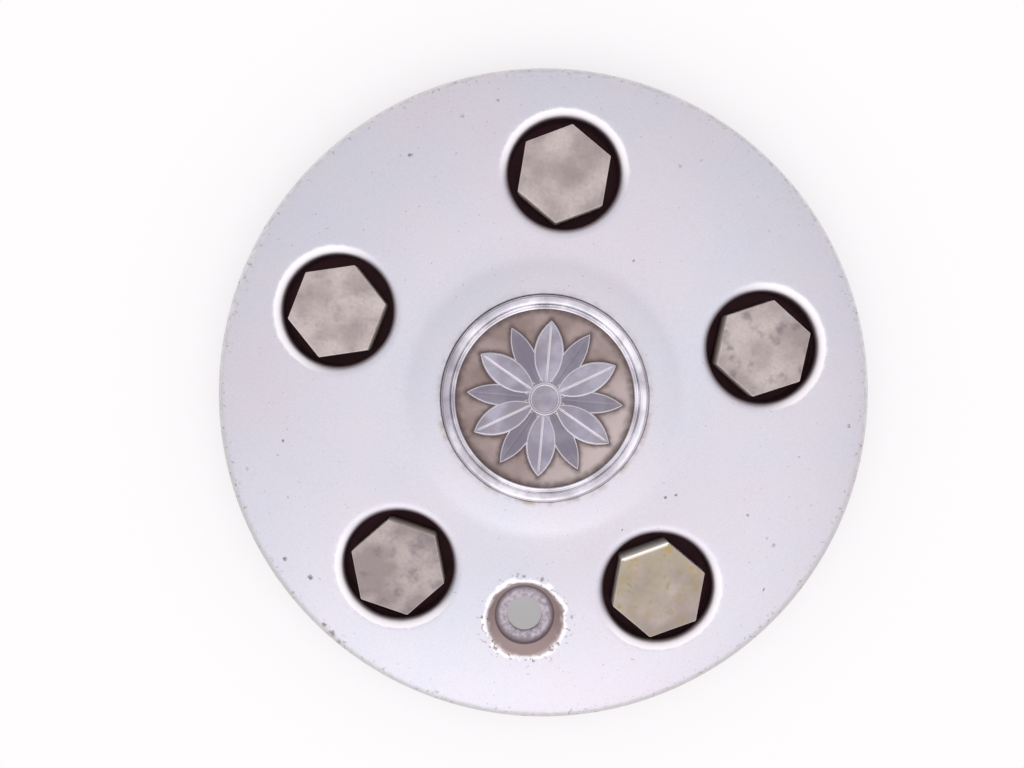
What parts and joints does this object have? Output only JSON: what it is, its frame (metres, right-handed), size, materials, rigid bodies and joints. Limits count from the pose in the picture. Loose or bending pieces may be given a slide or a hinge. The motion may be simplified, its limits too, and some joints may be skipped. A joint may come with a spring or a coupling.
{
  "type": "wheel centre cap",
  "caption": "Round silver wheel centre cap with hexagonal bolt caps that turn in their wells, a puller hole and a round plated badge.",
  "frame": {"origin": "centre of the plane that the cap rests on, where it meets the wheel", "axes": "+Z out of the face, +Y towards the bolt cap that stands opposite the puller hole"},
  "size_m": [0.1742, 0.1742, 0.0237],
  "materials": {
    "silver_paint": "satin metallic silver paint on moulded plastic",
    "badge_plate": "bright plated moulding with a matt taupe field",
    "adhesive_pad": "matte foam",
    "cap_plastic": "satin taupe metallic plastic"
  },
  "bodies": {
    "cover": {"cover": "silver_paint", "badge": "badge_plate", "badge_pad": "adhesive_pad"},
    "bolt_cap_1": {"bolt_cap_1": "cap_plastic"},
    "bolt_cap_2": {"bolt_cap_2": "cap_plastic"},
    "bolt_cap_3": {"bolt_cap_3": "cap_plastic"},
    "bolt_cap_4": {"bolt_cap_4": "cap_plastic"},
    "bolt_cap_5": {"bolt_cap_5": "cap_plastic"}
  },
  "joints": [
    {"name": "bolt_cap_1_turn", "type": "hinge", "parent": "cover", "child": "bolt_cap_1", "pos_m": [0, 0.0587, 0.0095], "axis": [0, 0, 1], "continuous": true},
    {"name": "bolt_cap_2_turn", "type": "hinge", "parent": "cover", "child": "bolt_cap_2", "pos_m": [-0.05611, 0.01793, 0.0095], "axis": [0, 0, 1], "continuous": true},
    {"name": "bolt_cap_3_turn", "type": "hinge", "parent": "cover", "child": "bolt_cap_3", "pos_m": [-0.03468, -0.04803, 0.0095], "axis": [0, 0, 1], "continuous": true},
    {"name": "bolt_cap_4_turn", "type": "hinge", "parent": "cover", "child": "bolt_cap_4", "pos_m": [0.03468, -0.04803, 0.0095], "axis": [0, 0, 1], "continuous": true},
    {"name": "bolt_cap_5_turn", "type": "hinge", "parent": "cover", "child": "bolt_cap_5", "pos_m": [0.05611, 0.01793, 0.0095], "axis": [0, 0, 1], "continuous": true}
  ]
}
